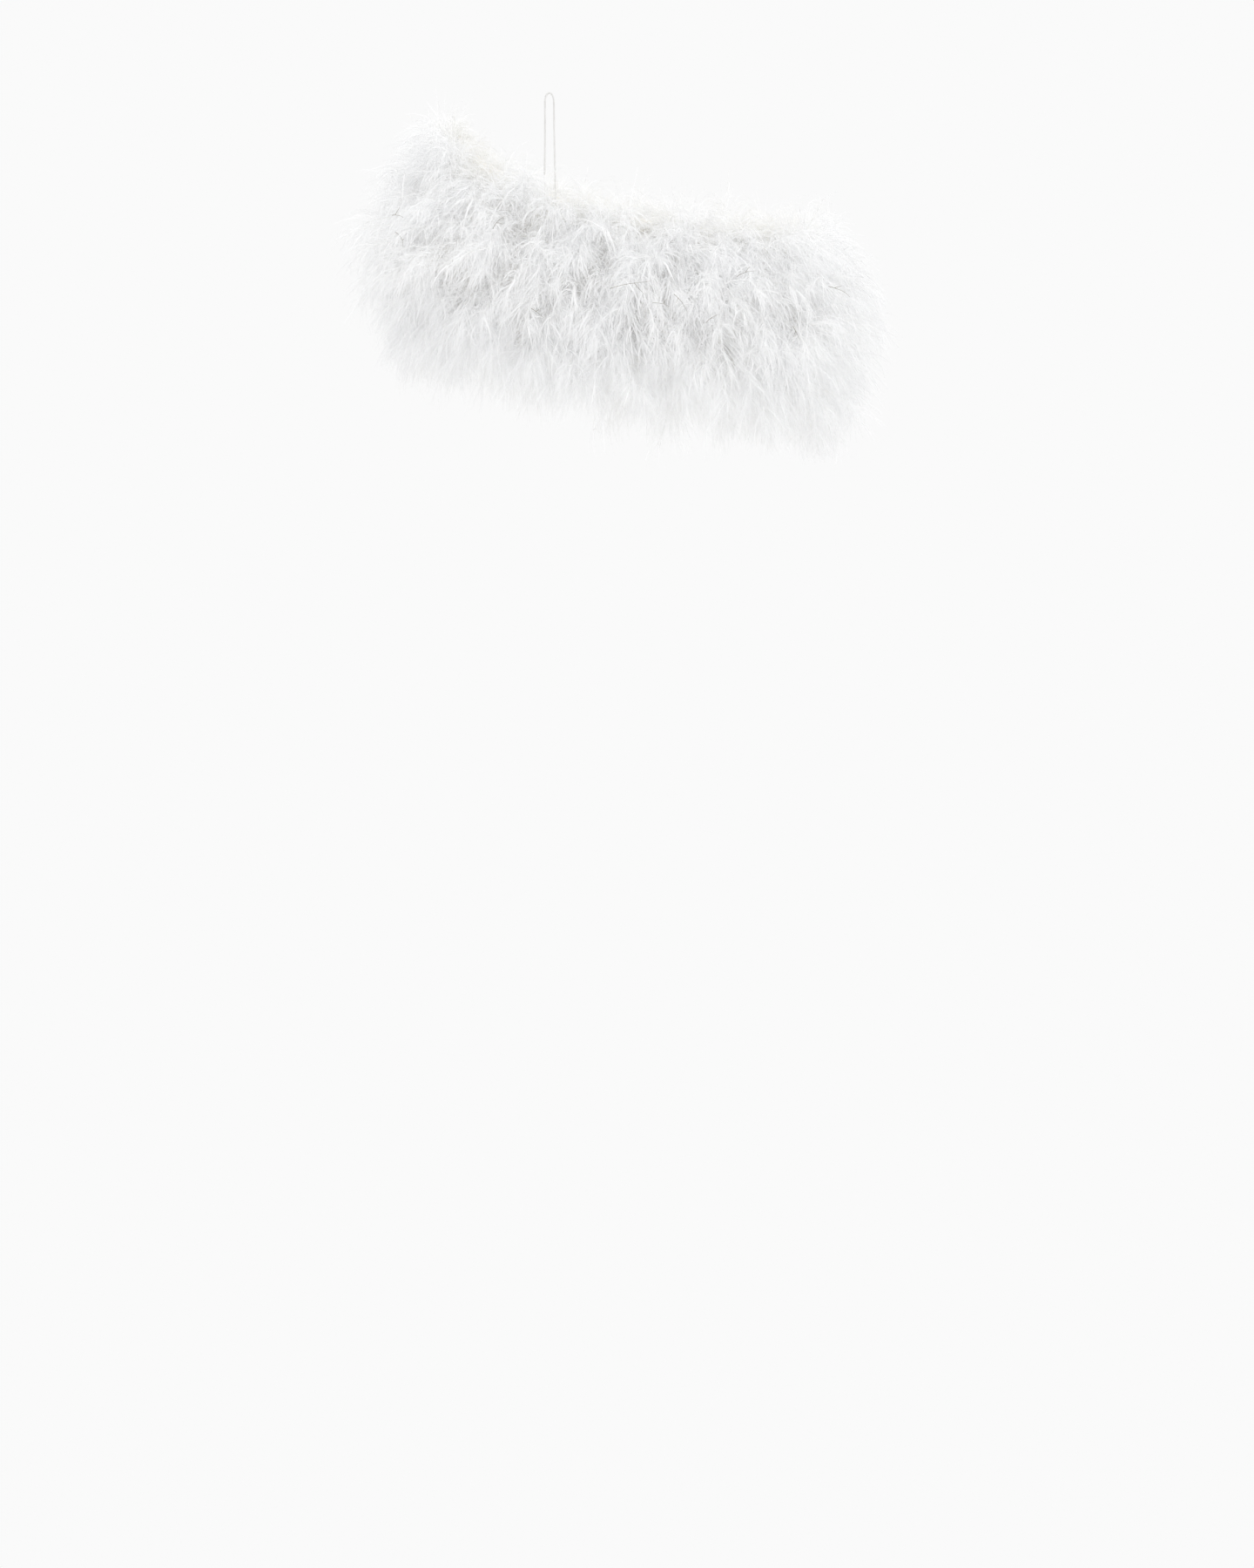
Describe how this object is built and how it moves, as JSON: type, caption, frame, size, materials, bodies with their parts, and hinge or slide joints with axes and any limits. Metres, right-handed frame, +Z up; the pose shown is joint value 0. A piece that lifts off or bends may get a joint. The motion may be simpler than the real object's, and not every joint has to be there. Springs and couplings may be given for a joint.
{
  "type": "feather boa",
  "caption": "Thick ostrich-feather boa worn as a one-shoulder band, high at one side, on a lined fabric band that snaps shut at the high side, with a hanging loop.",
  "frame": {"origin": "inside the wearer's opening, on the plane between the front and back halves; the wearer's body passes through it and holds the part up", "axes": "+X towards the low side, -Y towards the front, +Z up along the body; -X is the high, closing side"},
  "size_m": [0.7246, 0.4853, 0.4622],
  "materials": {
    "ostrich_feather": "matte",
    "core_cord": "matte",
    "sewing_thread": "satin",
    "band_fabric": "matte",
    "lining_satin": "satin",
    "edge_binding": "satin",
    "grip_elastic": "satin",
    "snap_metal": "polished",
    "loop_cord": "satin"
  },
  "bodies": {
    "front_half": {"feather_row_1_front": "ostrich_feather", "core_cord_1_front": "core_cord", "end_whipping_1_front": "sewing_thread", "feather_row_2_front": "ostrich_feather", "core_cord_2_front": "core_cord", "end_whipping_2_front": "sewing_thread", "feather_row_3_front": "ostrich_feather", "core_cord_3_front": "core_cord", "end_whipping_3_front": "sewing_thread", "feather_row_4_front": "ostrich_feather", "core_cord_4_front": "core_cord", "end_whipping_4_front": "sewing_thread", "feather_row_5_front": "ostrich_feather", "core_cord_5_front": "core_cord", "end_whipping_5_front": "sewing_thread", "band_front": "band_fabric", "lining_front": "lining_satin", "top_binding_front": "edge_binding", "bottom_binding_front": "edge_binding", "grip_elastic_front": "grip_elastic", "closure_facing_front": "edge_binding", "closure_socket_upper": "snap_metal", "closure_socket_middle": "snap_metal", "closure_socket_lower": "snap_metal", "garment_socket_right": "snap_metal", "garment_socket_middle": "snap_metal", "garment_socket_left": "snap_metal", "loop_anchor_tab": "edge_binding"},
    "back_half": {"feather_row_1_back": "ostrich_feather", "core_cord_1_back": "core_cord", "end_whipping_1_back": "sewing_thread", "feather_row_2_back": "ostrich_feather", "core_cord_2_back": "core_cord", "end_whipping_2_back": "sewing_thread", "feather_row_3_back": "ostrich_feather", "core_cord_3_back": "core_cord", "end_whipping_3_back": "sewing_thread", "feather_row_4_back": "ostrich_feather", "core_cord_4_back": "core_cord", "end_whipping_4_back": "sewing_thread", "feather_row_5_back": "ostrich_feather", "core_cord_5_back": "core_cord", "end_whipping_5_back": "sewing_thread", "band_back": "band_fabric", "lining_back": "lining_satin", "top_binding_back": "edge_binding", "bottom_binding_back": "edge_binding", "grip_elastic_back": "grip_elastic", "closure_facing_back": "edge_binding", "closure_stud_upper": "snap_metal", "closure_stud_middle": "snap_metal", "closure_stud_lower": "snap_metal"},
    "loop": {"hanging_loop": "loop_cord"}
  },
  "joints": [
    {"name": "back_open", "type": "hinge", "parent": "front_half", "child": "back_half", "pos_m": [0.236, 0, 0], "axis": [0, 0, -1], "range_deg": [0, 36]},
    {"name": "loop_swing", "type": "hinge", "parent": "front_half", "child": "loop", "pos_m": [-0.1, -0.0994, 0.0935], "axis": [-0.9806, 0.1961, 0], "range_deg": [0, 170]}
  ]
}
